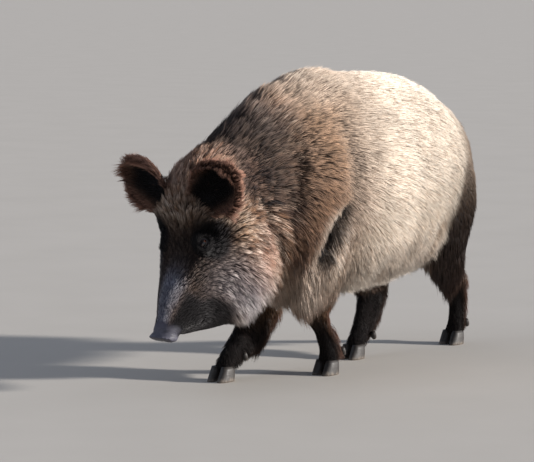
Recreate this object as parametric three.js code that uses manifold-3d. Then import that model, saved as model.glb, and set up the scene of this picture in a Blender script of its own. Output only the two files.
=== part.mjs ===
// A wild boar in its winter coat, walking with its head lowered: a life-size still model in closed solids.
// Millimetres, +Z up. The animal faces -Y, its left side is +X, and the soles of its hooves stand on z = 0.
// The solids reach out to the tips of the coat.
import * as THREE from "three";
import { LoftGeometry } from "three/addons/geometries/LoftGeometry.js";
import { mergeVertices } from "three/addons/utils/BufferGeometryUtils.js";
import Module from "manifold-3d";

const wasm = await Module();
wasm.setup();

// ---------------------------------------------------------------- driving dimensions

const SHOULDER_HEIGHT = 841; // ground to the top of the mane over the shoulder
const HEAD_LENGTH = 455; // crown between the ears to the tip of the snout
const HEAD_PITCH = 75.5; // degrees that the head points down from level
const CROWN = [-650, 593]; // y and z of the crown
const SNOUT_DISC = 14; // thickness of the bare disc that ends the snout
const EYE_RADIUS = 12;
const EYE_AT = { along: 192, out: -20, x: 63 };
const EYE_HOLLOW = { half: [20, 24, 17], aside: 15, forward: 9 }; // the hollow in the coat in front of an eye
const EAR_LENGTH = 164;
const TAIL_LENGTH = 235;
const HOOF_HEIGHT = 33;
const CUT = 0.3; // width of the cut between two neighbouring parts
const SOCKET = 14; // how far a limb's own region reaches beyond its outline, into the trunk

const COAT = { color: 0x6b5645, roughness: 0.95, metalness: 0 };
const DARK_COAT = { color: 0x2a221d, roughness: 0.95, metalness: 0 };
const SKIN = { color: 0x4d4545, roughness: 0.6, metalness: 0 };
const HORN = { color: 0x3a3431, roughness: 0.5, metalness: 0 };
const EYE = { color: 0x24130b, roughness: 0.1, metalness: 0 };

// ---------------------------------------------------------------- shaping

const turn = THREE.MathUtils.degToRad(HEAD_PITCH);
const LENGTHWISE = [-Math.cos(turn), -Math.sin(turn)]; // along the head, crown to snout, as y and z
const OUTWARD = [-Math.sin(turn), Math.cos(turn)]; // out of the forehead, as y and z

// A point of the head as y and z, from its place along the head and its distance out of the forehead.
const ofHead = (along, out) => [
  CROWN[0] + LENGTHWISE[0] * along + OUTWARD[0] * out,
  CROWN[1] + LENGTHWISE[1] * along + OUTWARD[1] * out,
];

// A smooth body over a row of frames. A frame is an oval ring that stands square to the animal's middle plane:
// `upper` and `lower` are its ends as y and z, `x` its centre, `half` its half-width, `level` the share of the way
// from lower to upper where it is widest, and `crown` and `keel` the fullness of the two halves that meet there
// (2 an ellipse, more boxier, less leaner). `grow` moves the whole surface outwards.
function loft(frames, { rings, around, grow = 0 }) {
  const through = (pick) =>
    new THREE.CatmullRomCurve3(
      frames.map((f) => new THREE.Vector3(...pick(f))),
      false,
      "catmullrom",
      0.5,
    );
  const uppers = through((f) => [f.x ?? 0, ...f.upper]);
  const lowers = through((f) => [f.x ?? 0, ...f.lower]);
  const widths = through((f) => [f.half, f.level ?? 0.5, 0]);
  const fullness = through((f) => [f.crown ?? 2, f.keel ?? f.crown ?? 2, 0]);
  const sections = [];
  for (let i = 0; i <= rings; i++) {
    const t = i / rings;
    const upper = uppers.getPoint(t);
    const lower = lowers.getPoint(t);
    const { x: half, y: level } = widths.getPoint(t);
    const { x: crown, y: keel } = fullness.getPoint(t);
    const rise = upper.clone().sub(lower);
    const centre = lower.clone().addScaledVector(rise, level);
    const onwards = uppers.getTangent(t).add(lowers.getTangent(t)).normalize();
    centre.addScaledVector(onwards, (i === rings ? grow : 0) - (i === 0 ? grow : 0));
    const length = rise.length();
    rise.normalize();
    const ring = [];
    for (let j = 0; j < around; j++) {
      const angle = (2 * Math.PI * j) / around;
      const [share, fill] = angle < Math.PI ? [1 - level, crown] : [level, keel];
      const across = (half + grow) * rounded(Math.cos(angle), fill);
      const up = (share * length + grow) * rounded(Math.sin(angle), fill);
      ring.push(new THREE.Vector3(centre.x + across, centre.y + rise.y * up, centre.z + rise.z * up));
    }
    sections.push(ring);
  }
  return new LoftGeometry(sections, { capStart: true, capEnd: true });
}

// A cosine or sine bent to a superellipse's.
const rounded = (value, fill) => Math.sign(value) * Math.abs(value) ** (2 / fill);

// A three.js geometry as a manifold solid.
function solid(geometry) {
  const bare = new THREE.BufferGeometry();
  bare.setAttribute("position", geometry.getAttribute("position"));
  bare.setIndex(geometry.index);
  const { index, attributes } = mergeVertices(bare, 1e-3);
  return new wasm.Manifold(
    new wasm.Mesh({
      numProp: 3,
      vertProperties: attributes.position.array,
      triVerts: new Uint32Array(index.array),
    }),
  );
}

// The two sides of a solid along a plane through `point`, parted by a thin cut: first the side that `normal` points to.
function part(whole, point, normal) {
  const n = new THREE.Vector3(...normal).normalize();
  const at = n.dot(new THREE.Vector3(...point));
  return [
    whole.trimByPlane(n.toArray(), at + CUT / 2),
    whole.trimByPlane(n.clone().negate().toArray(), CUT / 2 - at),
  ];
}

// The largest body of a solid, without any crumbs that a cut has left.
const largest = (whole) =>
  whole.decompose().reduce((best, body) => (body.volume() > best.volume() ? body : best));

// ---------------------------------------------------------------- trunk, neck and tail

const barrelFrames = [
  { upper: [540, 575], lower: [540, 450], half: 40 },
  { upper: [518, 645], lower: [530, 378], half: 86 },
  { upper: [462, 701], lower: [480, 322], half: 128 },
  { upper: [374, 752], lower: [388, 280], half: 172 },
  { upper: [246, 808], lower: [254, 254], half: 204, level: 0.48, crown: 1.9, keel: 2 },
  { upper: [100, 825], lower: [94, 234], half: 216, level: 0.46, crown: 1.9, keel: 2 },
  { upper: [-50, 831], lower: [-52, 230], half: 215, level: 0.44, crown: 1.85, keel: 2 },
  { upper: [-172, SHOULDER_HEIGHT], lower: [-172, 232], half: 206, level: 0.43, crown: 1.75, keel: 2 },
  { upper: [-282, 815], lower: [-292, 224], half: 192, level: 0.43, crown: 1.7, keel: 1.95 },
  { upper: [-378, 775], lower: [-390, 250], half: 174, level: 0.44, crown: 1.7, keel: 1.9 },
  { upper: [-458, 731], lower: [-446, 284], half: 158, level: 0.45, crown: 1.75, keel: 1.9 },
  { upper: [-534, 684], lower: [-494, 322], half: 144, level: 0.45, crown: 1.8, keel: 1.9 },
  { upper: [-594, 645], lower: [-530, 350], half: 128, level: 0.45, crown: 1.85, keel: 1.9 },
  { upper: [-640, 604], lower: [-560, 400], half: 102, level: 0.45, crown: 1.9 },
];
const NECK_FROM = { point: [0, -372, 600], normal: [0, -1, -0.12] };

const tailFrames = [
  { upper: [480, 634], lower: [486, 668], half: 22 },
  { upper: [537, 628], lower: [553, 660], half: 20 },
  { upper: [556, 596], lower: [588, 610], half: 16 },
  { upper: [562, 545], lower: [586, 545], half: 12 },
  { upper: [556, 668 - TAIL_LENGTH * 0.8], lower: [584, 668 - TAIL_LENGTH * 0.8], half: 14 },
  { upper: [560, 668 - TAIL_LENGTH], lower: [568, 668 - TAIL_LENGTH], half: 5 },
];

// ---------------------------------------------------------------- head

const headFrame = (along, out, under, half, level = 0.5, crown = 2, keel = crown) => ({
  upper: ofHead(along, out),
  lower: ofHead(along, -under),
  half,
  level,
  crown,
  keel,
});
const headFrames = [
  headFrame(-30, -20, 160, 90, 0.5, 2),
  headFrame(12, 14, 215, 114, 0.5, 2),
  headFrame(66, 34, 260, 134, 0.46, 2),
  headFrame(122, 33, 284, 148, 0.42, 2),
  headFrame(178, 15, 302, 158, 0.37, 1.95, 2.1),
  headFrame(232, 8, 308, 160, 0.36, 1.85, 2.2),
  headFrame(286, 13, 300, 146, 0.36, 1.75, 2.2),
  headFrame(332, 22, 268, 124, 0.36, 1.65, 2.2),
  headFrame(370, 27, 212, 94, 0.36, 1.6, 2.2),
  headFrame(400, 27, 146, 62, 0.42, 1.75, 2.2),
  headFrame(424, 27, 64, 43, 0.5, 2.2),
  headFrame(HEAD_LENGTH - SNOUT_DISC, 27, 36, 38, 0.5, 2.3),
];
const discFrames = [
  headFrame(HEAD_LENGTH - SNOUT_DISC + CUT, 29, 33, 38, 0.5, 2.4),
  headFrame(HEAD_LENGTH - SNOUT_DISC * 0.5, 33, 33, 41, 0.5, 2.4),
  headFrame(HEAD_LENGTH, 28, 26, 36, 0.5, 2.4),
];

// The lower jaw: everything of the head below the mouth, from its corner forwards.
const MOUTH = { corner: [322, -84], front: [HEAD_LENGTH + 30, -24] };
const BELOW_ALL = -400; // out of the head's own outline, below it
const HALF_WIDE = 200; // out of the head's own outline, at its sides
function jawRegion(grow) {
  const outline = [
    [MOUTH.corner[0] - grow, MOUTH.corner[1] + grow],
    [MOUTH.corner[0] - grow, BELOW_ALL],
    [MOUTH.front[0], BELOW_ALL],
    [MOUTH.front[0], MOUTH.front[1] + grow],
  ];
  const shape = new THREE.Shape(outline.map((at) => new THREE.Vector2(...ofHead(...at))));
  const wedge = new THREE.ExtrudeGeometry(shape, { depth: 2 * HALF_WIDE, bevelEnabled: false });
  // The outline lies in the middle plane, so its own x and y are the animal's y and z.
  const upright = new THREE.Matrix4().makeBasis(
    new THREE.Vector3(0, 1, 0),
    new THREE.Vector3(0, 0, 1),
    new THREE.Vector3(1, 0, 0),
  );
  return solid(wedge.translate(0, 0, -HALF_WIDE).applyMatrix4(upright));
}

// ---------------------------------------------------------------- ears

// An ear hangs down from its base here, facing -Y, before it is turned into place.
const earFrame = (share, half, depth) => ({
  upper: [-depth, -share * EAR_LENGTH],
  lower: [depth * 0.9, -share * EAR_LENGTH],
  half,
});
const earFrames = [
  earFrame(0, 32, 24),
  earFrame(0.18, 56, 34),
  earFrame(0.42, 75, 38),
  earFrame(0.68, 70, 31),
  earFrame(0.88, 47, 20),
  earFrame(1, 14, 6),
];
const EAR_WALL = 13; // thickness of the shell with its fur
const EAR = { base: [52, -697, 500], axis: [0.8, 0.02, 0.6], facing: [0.3, -1, -0.2] };

// The matrix that lays an ear's own axes onto the animal, on its left (side 1) or right (side -1).
function earPlace(side) {
  const axis = new THREE.Vector3(side * EAR.axis[0], EAR.axis[1], EAR.axis[2]).normalize();
  const facing = new THREE.Vector3(side * EAR.facing[0], EAR.facing[1], EAR.facing[2]);
  facing.addScaledVector(axis, -facing.dot(axis)).normalize();
  const across = new THREE.Vector3().crossVectors(facing, axis);
  return new THREE.Matrix4()
    .makeBasis(across, facing.clone().negate(), axis.clone().negate())
    .setPosition(side * EAR.base[0], EAR.base[1], EAR.base[2]);
}

function ear(side) {
  const place = earPlace(side);
  const bulk = loft(earFrames, rows.ear).applyMatrix4(place);
  const hollow = loft(
    earFrames.map((f) => ({ ...f, upper: [f.upper[0] - EAR_WALL * 2, f.upper[1]] })),
    { ...rows.ear, grow: -EAR_WALL / 2 },
  );
  hollow.translate(0, -EAR_WALL / 2, EAR_WALL).applyMatrix4(place);
  const socket = loft(earFrames, { ...rows.ear, grow: CUT }).applyMatrix4(place);
  return { node: largest(solid(bulk).subtract(solid(hollow))), socket: solid(socket) };
}

// ---------------------------------------------------------------- legs

// One frame of a leg: its centre as x, y and z, then its half-depth fore and aft and its half-width.
const legFrame = (x, y, z, deep, half, lean = 0) => ({
  x,
  upper: [y - deep, z + lean],
  lower: [y + deep, z - lean],
  half,
});

const LEGS = {
  foreleg_left: {
    frames: [
      legFrame(128, -262, 690, 34, 24),
      legFrame(138, -270, 650, 82, 50),
      legFrame(142, -282, 560, 124, 70),
      legFrame(142, -282, 460, 140, 74),
      legFrame(130, -266, 370, 130, 70),
      legFrame(112, -256, 290, 114, 58),
      legFrame(88, -254, 222, 76, 46),
      legFrame(76, -224, 166, 40, 32),
      legFrame(76, -178, 110, 32, 27),
      legFrame(78, -162, 62, 32, 28),
      legFrame(78, -164, HOOF_HEIGHT, 30, 30),
    ],
    elbow: { point: [0, -228, 236], normal: [0, -0.35, 1] },
    toes: { x: 78, y: -171, heel: -120 },
  },
  foreleg_right: {
    frames: [
      legFrame(-124, -292, 690, 34, 24),
      legFrame(-134, -304, 650, 82, 50),
      legFrame(-140, -318, 560, 124, 70),
      legFrame(-140, -318, 460, 140, 74),
      legFrame(-126, -292, 370, 118, 70),
      legFrame(-104, -258, 290, 94, 54),
      legFrame(-88, -246, 224, 78, 42, 10),
      legFrame(-84, -280, 152, 60, 33, 24),
      legFrame(-80, -328, 102, 56, 28, 26),
      legFrame(-76, -388, 64, 46, 28, 16),
      legFrame(-73, -424, HOOF_HEIGHT, 32, 30),
    ],
    elbow: { point: [0, -264, 236], normal: [0, 0.45, 1] },
    toes: { x: -72, y: -438, heel: -362 },
  },
  hindleg_left: {
    frames: [
      legFrame(80, 370, 640, 40, 28),
      legFrame(100, 366, 590, 86, 52),
      legFrame(110, 362, 520, 110, 66),
      legFrame(112, 360, 440, 122, 70),
      legFrame(102, 358, 360, 114, 64),
      legFrame(88, 370, 290, 102, 51),
      legFrame(70, 424, 230, 70, 41),
      legFrame(52, 484, 174, 39, 30),
      legFrame(38, 518, 112, 30, 25),
      legFrame(32, 522, 62, 31, 27),
      legFrame(30, 516, HOOF_HEIGHT, 30, 29),
    ],
    elbow: { point: [0, 450, 214], normal: [0, -0.75, 1] },
    toes: { x: 30, y: 508, heel: 556 },
  },
  hindleg_right: {
    frames: [
      legFrame(-84, 362, 640, 40, 28),
      legFrame(-104, 354, 590, 86, 52),
      legFrame(-116, 344, 520, 110, 66),
      legFrame(-122, 330, 440, 124, 72),
      legFrame(-116, 308, 360, 128, 70),
      legFrame(-102, 270, 290, 104, 56),
      legFrame(-86, 244, 230, 70, 44),
      legFrame(-70, 236, 178, 58, 33, 8),
      legFrame(-56, 198, 118, 47, 28, 16),
      legFrame(-42, 147, 70, 38, 27, 12),
      legFrame(-34, 110, HOOF_HEIGHT, 31, 29),
    ],
    elbow: { point: [0, 250, 214], normal: [0, -0.2, 1] },
    toes: { x: -32, y: 98, heel: 174 },
  },
};

// ---------------------------------------------------------------- hooves

const HOOF = { half: 14.5, long: 66, splay: 17 };
// One cloven half of a hoof: a blunt wedge with a flat sole, its outline drawn from above and tapered upwards.
function hoof(foot, side) {
  const hoofFrame = (share, inset, back) => ({
    x: foot.x + side * HOOF.splay,
    upper: [foot.y - HOOF.long * 0.56 + inset, share * HOOF_HEIGHT],
    lower: [foot.y + HOOF.long * 0.44 - back, share * HOOF_HEIGHT],
    half: HOOF.half - inset * 0.12,
    crown: 2.6,
  });
  // From the coronet down to the sole, so that the faces point out.
  return solid(
    loft([hoofFrame(1 - CUT / HOOF_HEIGHT, 17, 0), hoofFrame(0.5, 8, 1), hoofFrame(0, 0, 4)], {
      rings: 2,
      around: 16,
    }),
  );
}

// A dewclaw: a small blunt cone that hangs behind the foot, clear of the ground.
const DEWCLAW = { radius: 9.5, long: 34, lift: 58, apart: 18 };
function dewclaw(foot, side, grow = 0) {
  const { radius, long } = DEWCLAW;
  const profile = [
    [0, long / 2 + grow],
    [radius * 0.9 + grow, long * 0.35],
    [radius + grow, 0],
    [radius * 0.66 + grow, -long * 0.36],
    [0, -long / 2 - grow],
  ];
  const cone = new THREE.LatheGeometry(
    profile.reverse().map(([r, h]) => new THREE.Vector2(r, h)),
    8,
  );
  cone.rotateX(Math.PI / 2 + 0.55);
  cone.translate(foot.x + side * DEWCLAW.apart, foot.heel, DEWCLAW.lift);
  return solid(cone);
}

// ---------------------------------------------------------------- the whole animal, parted

const rows = {
  barrel: { rings: 21, around: 24 },
  head: { rings: 15, around: 22 },
  leg: { rings: 14, around: 12 },
  ear: { rings: 6, around: 12 },
  tail: { rings: 9, around: 10 },
  headRegion: { rings: 9, around: 14, grow: SOCKET },
  legRegion: { rings: 9, around: 10, grow: SOCKET },
};
const model = new THREE.Group();

// Adds a solid to the model as a named mesh.
function add(name, made, finish) {
  const { numProp, vertProperties, triVerts } = made.simplify(CUT / 4).getMesh();
  const geometry = new THREE.BufferGeometry();
  geometry.setAttribute("position", new THREE.BufferAttribute(vertProperties, numProp));
  geometry.setIndex(new THREE.BufferAttribute(triVerts, 1));
  geometry.computeVertexNormals();
  const mesh = new THREE.Mesh(geometry, new THREE.MeshStandardMaterial(finish));
  mesh.name = name;
  model.add(mesh);
}

let body = solid(loft(barrelFrames, rows.barrel)).add(solid(loft(headFrames, rows.head)));
for (const { frames } of Object.values(LEGS)) body = body.add(solid(loft(frames, rows.leg)));

// Ears and tail stand in sockets of the body.
for (const [name, side] of [["left", 1], ["right", -1]]) {
  const { node, socket } = ear(side);
  body = body.subtract(socket);
  add(`ear_${name}`, node, DARK_COAT);
}
body = body.subtract(solid(loft(tailFrames, { ...rows.tail, grow: CUT })));
add("tail", solid(loft(tailFrames, rows.tail)), DARK_COAT);

// Eyes: balls in their sockets, each at the bottom of a shallow hollow in the coat.
for (const [name, side] of [["left", 1], ["right", -1]]) {
  const centre = [side * EYE_AT.x, ...ofHead(EYE_AT.along, EYE_AT.out)];
  const ball = (radius) => new THREE.SphereGeometry(radius, 12, 8).translate(...centre);
  const hollow = new THREE.SphereGeometry(1, 12, 8).scale(...EYE_HOLLOW.half);
  hollow.translate(centre[0] + side * EYE_HOLLOW.aside, centre[1] - EYE_HOLLOW.forward, centre[2]);
  body = body.subtract(solid(ball(EYE_RADIUS + CUT))).subtract(solid(hollow));
  add(`eye_${name}`, solid(ball(EYE_RADIUS)), EYE);
}

// Each leg is the body inside the leg's own outline, grown into the trunk around it.
for (const [name, leg] of Object.entries(LEGS)) {
  let limb = body.intersect(solid(loft(leg.frames, rows.legRegion)));
  body = body.subtract(solid(loft(leg.frames, { ...rows.legRegion, grow: SOCKET + CUT })));
  [limb] = part(limb, [0, 0, HOOF_HEIGHT], [0, 0, 1]);
  for (const [claw, side] of [["outer", 1], ["inner", -1]]) {
    const away = side * Math.sign(leg.toes.x);
    add(`hoof_${name}_${claw}`, hoof(leg.toes, away), HORN);
    add(`dewclaw_${name}_${claw}`, dewclaw(leg.toes, away), HORN);
    limb = limb.subtract(dewclaw(leg.toes, away, CUT));
  }
  const [upper, lower] = part(limb, leg.elbow.point, leg.elbow.normal);
  add(`${name}_upper`, largest(upper), COAT);
  add(`${name}_lower`, largest(lower), DARK_COAT);
}

// The head is the body inside the head's own outline; the mouth's cut frees the lower jaw.
const head = largest(body.intersect(solid(loft(headFrames, rows.headRegion))));
body = body.subtract(solid(loft(headFrames, { ...rows.headRegion, grow: SOCKET + CUT })));
add("lower_jaw", largest(head.intersect(jawRegion(0))), COAT);
add("head", largest(head.subtract(jawRegion(CUT))), COAT);
add("snout_disc", solid(loft(discFrames, { rings: 4, around: 20 })), SKIN);

const [neck, trunk] = part(body, NECK_FROM.point, NECK_FROM.normal);
add("neck", largest(neck), COAT);
add("trunk", largest(trunk), COAT);

// The origin is on the ground under the middle of the bounding box.
const box = new THREE.Box3().setFromObject(model);
const middle = box.getCenter(new THREE.Vector3());
model.position.set(-middle.x, -middle.y, -box.min.z);

export default model;
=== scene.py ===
"""The looks of a wild boar in its winter coat, walking with its head lowered.

Metres, +Z up. The animal faces -Y and its left side is +X. One skin replaces all solids of flesh and lies
inside them by the coat's depth; tufts of hair, made as joined meshes, stand on the skin and reach out to them.
"""

import math

import bmesh
import bpy
import numpy as np
from mathutils import Matrix, Vector
from mathutils.bvhtree import BVHTree
from mathutils.kdtree import KDTree


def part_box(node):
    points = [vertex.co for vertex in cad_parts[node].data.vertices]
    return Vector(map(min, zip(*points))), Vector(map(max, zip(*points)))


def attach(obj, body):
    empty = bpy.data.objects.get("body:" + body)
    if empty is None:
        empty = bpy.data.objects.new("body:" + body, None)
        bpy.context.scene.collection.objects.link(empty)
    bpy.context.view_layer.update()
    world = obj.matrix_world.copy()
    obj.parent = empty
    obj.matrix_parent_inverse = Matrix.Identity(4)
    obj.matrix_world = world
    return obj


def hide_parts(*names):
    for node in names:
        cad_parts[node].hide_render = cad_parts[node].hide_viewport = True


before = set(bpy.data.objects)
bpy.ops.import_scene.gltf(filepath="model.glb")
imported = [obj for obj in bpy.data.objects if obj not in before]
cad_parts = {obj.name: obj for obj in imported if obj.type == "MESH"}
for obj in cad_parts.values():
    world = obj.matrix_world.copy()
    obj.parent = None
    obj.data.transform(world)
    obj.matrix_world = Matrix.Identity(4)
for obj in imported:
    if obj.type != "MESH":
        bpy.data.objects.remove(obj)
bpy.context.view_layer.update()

chance = np.random.default_rng(41)
scene = bpy.context.scene

# ---------------------------------------------------------------- places on the animal

HEAD_PITCH = math.radians(75.5)  # how far the head points down from level
CROWN = np.array([0.0, -0.547575, 0.593])
LENGTHWISE = np.array([0.0, -math.cos(HEAD_PITCH), -math.sin(HEAD_PITCH)])  # crown to snout
OUTWARD = np.array([0.0, -math.sin(HEAD_PITCH), math.cos(HEAD_PITCH)])  # out of the forehead
HEAD_LENGTH = 0.455
EYE_RADIUS = 0.012
SIDES = {"left": 1, "right": -1}


def head_place(points):
    """Each point's distance along the head from the crown, and out of the forehead."""
    away = points - CROWN
    return away @ LENGTHWISE, away @ OUTWARD


def of_head(along, out, x=0.0):
    """The point of the head at those distances."""
    return CROWN + LENGTHWISE * along + OUTWARD * out + np.array([x, 0.0, 0.0])


def unit(vectors):
    """The same directions, one metre long."""
    vectors = np.asarray(vectors, float)
    return vectors / np.maximum(np.linalg.norm(vectors, axis=-1, keepdims=True), 1e-9)


def mirrored(vector, side):
    """A left-hand vector on that side of the animal."""
    return np.array([vector[0] * side, vector[1], vector[2]])


EYE_AT = of_head(0.192, -0.020, 0.063)
EYE_LOOKS = unit([0.80, -0.57, 0.12])
LID_LINE = unit([-0.30, -0.45, -0.80])  # from the outer to the inner corner of the eye
EAR_BASE = np.array([0.052, -0.594575, 0.500])
EAR_AXIS = unit([0.8, 0.02, 0.6])
EAR_FACING = unit([0.3, -1.0, -0.2])
EAR_LENGTH = 0.164
MOUTH_CORNER = (0.350, -0.080)
MOUTH_FRONT = (0.452, -0.030)


# ---------------------------------------------------------------- fields over a surface


def smoothstep(low, high, value):
    """0 below low, 1 above high and a smooth rise between them."""
    t = np.clip((value - low) / (high - low), 0.0, 1.0)
    return t * t * (3.0 - 2.0 * t)


def near(points, centre, radius):
    """1 at a centre, falling smoothly to 0 at that radius."""
    gap = np.linalg.norm(points - np.asarray(centre), axis=1)
    return 1.0 - smoothstep(0.0, radius, gap)


def noise(points, cell, seed):
    """Smooth noise from -1 to 1, with features about as large as cell."""
    scaled = points / cell + 1000.0
    whole = np.floor(scaled).astype(np.int64)
    part = scaled - whole
    part = part * part * (3.0 - 2.0 * part)
    total = np.zeros(len(points))
    for corner in range(8):
        step = np.array([corner & 1, corner >> 1 & 1, corner >> 2 & 1])
        across, onwards, upwards = (whole + step).T
        key = across * 73856093 ^ onwards * 19349663 ^ upwards * 83492791 ^ seed * 2654435
        key = (key ^ (key >> 13)) * 1274126177 & 0xFFFFFFFF
        key = (key ^ (key >> 16)) & 0xFFFFFF
        share = np.prod(np.where(step == 1, part, 1.0 - part), axis=1)
        total += share * (key / float(0x7FFFFF) - 1.0)
    return total


def spread(values, edges, times):
    """Evens out one or more values of each vertex over a mesh's edges."""
    ends = np.concatenate([edges[:, 0], edges[:, 1]])
    others = np.concatenate([edges[:, 1], edges[:, 0]])
    flat = np.array(values, float).reshape(len(values), -1)
    count = np.maximum(np.bincount(ends, minlength=len(flat)), 1)
    for _ in range(times):
        sums = [np.bincount(ends, weights=flat[others, k], minlength=len(flat)) for k in range(flat.shape[1])]
        flat = 0.5 * flat + 0.5 * np.stack(sums, 1) / count[:, None]
    return flat.reshape(np.shape(values))


# ---------------------------------------------------------------- reading and writing meshes


def read(mesh, kind):
    """A mesh's vertex places, vertex normals or edges as an array."""
    if kind == "edges":
        out = np.zeros(len(mesh.edges) * 2, np.int32)
        mesh.edges.foreach_get("vertices", out)
        return out.reshape(-1, 2)
    out = np.zeros(len(mesh.vertices) * 3, np.float32)
    if kind == "co":
        mesh.vertices.foreach_get("co", out)
    else:
        mesh.vertex_normals.foreach_get("vector", out)
    return out.reshape(-1, 3).astype(float)


def place(mesh, points):
    """Moves a mesh's vertices to those points."""
    mesh.vertices.foreach_set("co", np.ascontiguousarray(points, np.float32).ravel())
    mesh.update()


def smooth(mesh):
    """Shades a mesh without showing its facets."""
    for polygon in mesh.polygons:
        polygon.use_smooth = True


def keep_value(mesh, name, values):
    """Stores one number for each vertex, which the materials read by that name."""
    layer = mesh.attributes.get(name) or mesh.attributes.new(name, "FLOAT", "POINT")
    layer.data.foreach_set("value", np.ascontiguousarray(values, np.float32))


def shown(name, mesh, material, slot, replaced=()):
    """A finished piece of the animal in the scene."""
    piece = bpy.data.objects.new(name, mesh)
    scene.collection.objects.link(piece)
    mesh.materials.append(material)
    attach(piece, "root")
    if replaced:
        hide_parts(*replaced)
    return piece


# ---------------------------------------------------------------- colours of hair and skin


def linear(red, green, blue):
    """A display colour of 0 to 255 as the shader's own colour."""
    out = []
    for level in (red, green, blue):
        share = level / 255.0
        out.append(share / 12.92 if share <= 0.04045 else ((share + 0.055) / 1.055) ** 2.4)
    return (*out, 1.0)


class Wiring:
    """Adds nodes to a node tree and joins them."""

    def __init__(self, tree):
        self.tree = tree

    def node(self, kind, **settings):
        made = self.tree.nodes.new(kind)
        for name, value in settings.items():
            setattr(made, name, value)
        return made

    def join(self, source, target):
        self.tree.links.new(source, target)

    def feed(self, socket, source):
        """Sets a socket to a number or a colour, or joins it to another socket."""
        if isinstance(source, bpy.types.NodeSocket):
            self.join(source, socket)
        else:
            socket.default_value = source

    def sum(self, operation, *values, clamp=False):
        made = self.node("ShaderNodeMath", operation=operation, use_clamp=clamp)
        for socket, value in zip(made.inputs, values):
            self.feed(socket, value)
        return made.outputs[0]

    def blend(self, share, first, second):
        made = self.node("ShaderNodeMix", data_type="RGBA", clamp_factor=True)
        self.feed(made.inputs["Factor"], share)
        self.feed(made.inputs[6], first)
        self.feed(made.inputs[7], second)
        return made.outputs[2]

    def ramp(self, value, low, high):
        made = self.node("ShaderNodeMapRange", interpolation_type="SMOOTHSTEP")
        self.feed(made.inputs["Value"], value)
        made.inputs["From Min"].default_value = low
        made.inputs["From Max"].default_value = high
        return made.outputs["Result"]

    def stored(self, name):
        return self.node("ShaderNodeAttribute", attribute_name=name).outputs["Fac"]

    def specks(self, scale, detail=2.0, stretch=(1, 1, 1)):
        """Noise over the animal itself, from 0 to 1."""
        place_of = self.node("ShaderNodeTexCoord")
        lay = self.node("ShaderNodeMapping")
        lay.inputs["Scale"].default_value = stretch
        self.join(place_of.outputs["Object"], lay.inputs["Vector"])
        made = self.node("ShaderNodeTexNoise")
        made.inputs["Scale"].default_value = scale
        made.inputs["Detail"].default_value = detail
        self.join(lay.outputs["Vector"], made.inputs["Vector"])
        return made.outputs["Fac"]

    def bump(self, height, strength, distance):
        made = self.node("ShaderNodeBump")
        made.inputs["Strength"].default_value = strength
        made.inputs["Distance"].default_value = distance
        self.join(height, made.inputs["Height"])
        return made.outputs["Normal"]


def new_group(name, takes, gives):
    """An empty shader node group with those inputs and outputs, and its wiring."""
    group = bpy.data.node_groups.new(name, "ShaderNodeTree")
    kinds = {"value": "NodeSocketFloat", "colour": "NodeSocketColor", "vector": "NodeSocketVector"}
    for direction, sockets in (("INPUT", takes), ("OUTPUT", gives)):
        for socket, kind in sockets.items():
            group.interface.new_socket(name=socket, in_out=direction, socket_type=kinds[kind])
    wire = Wiring(group)
    return group, wire, wire.node("NodeGroupInput").outputs, wire.node("NodeGroupOutput").inputs


MARKS = ("pale", "grey", "rust", "dark")
HAIR_COLOURS = {  # at a hair's root, along its length and at its tip
    "brown": (linear(20, 15, 12), linear(66, 48, 37), linear(146, 113, 85)),
    "pale": (linear(92, 76, 63), linear(186, 167, 149), linear(234, 224, 211)),
    "grey": (linear(28, 28, 35), linear(90, 91, 106), linear(202, 203, 213)),
    "rust": (linear(34, 20, 16), linear(104, 66, 52), linear(178, 122, 102)),
    "dark": (linear(7, 6, 7), linear(16, 14, 15), linear(40, 36, 38)),
}


ROOT_TO_MIDDLE, MIDDLE_TO_TIP = (0.04, 0.42), (0.38, 0.90)  # where along a hair its colour changes
PATCHINESS = 1.3  # how far the mottle shifts the edges of the markings


def coat_colour_group():
    """The colour of the coat from the markings, the place along a hair and the hair's own shade."""
    takes = {"Along": "value", "Shade": "value"}
    takes.update({mark.capitalize(): "value" for mark in MARKS})
    group, wire, given, asked = new_group("Coat colour", takes, {"Color": "colour"})
    mottle = wire.specks(16.0, 3.0)
    fine = wire.specks(95.0, 2.0)
    colours = []
    for part in range(3):
        mixed = HAIR_COLOURS["brown"][part]
        for mark in MARKS:
            mask = given[mark.capitalize()]
            unsure = wire.sum("MULTIPLY", mask, wire.sum("SUBTRACT", 1.0, mask))
            patches = wire.sum("MULTIPLY", wire.sum("SUBTRACT", mottle, 0.5), PATCHINESS)
            share = wire.sum("MULTIPLY_ADD", patches, unsure, mask, clamp=True)
            mixed = wire.blend(share, mixed, HAIR_COLOURS[mark][part])
        colours.append(mixed)
    lower = wire.blend(wire.ramp(given["Along"], *ROOT_TO_MIDDLE), colours[0], colours[1])
    whole = wire.blend(wire.ramp(given["Along"], *MIDDLE_TO_TIP), lower, colours[2])
    shade = wire.sum("MULTIPLY_ADD", given["Shade"], 0.95, 0.52)
    shade = wire.sum("MULTIPLY", shade, wire.sum("MULTIPLY_ADD", fine, 0.5, 0.75))
    toned = wire.node("ShaderNodeVectorMath", operation="SCALE")
    wire.join(whole, toned.inputs[0])
    wire.join(shade, toned.inputs["Scale"])
    wire.join(toned.outputs[0], asked["Color"])
    return group


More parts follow.
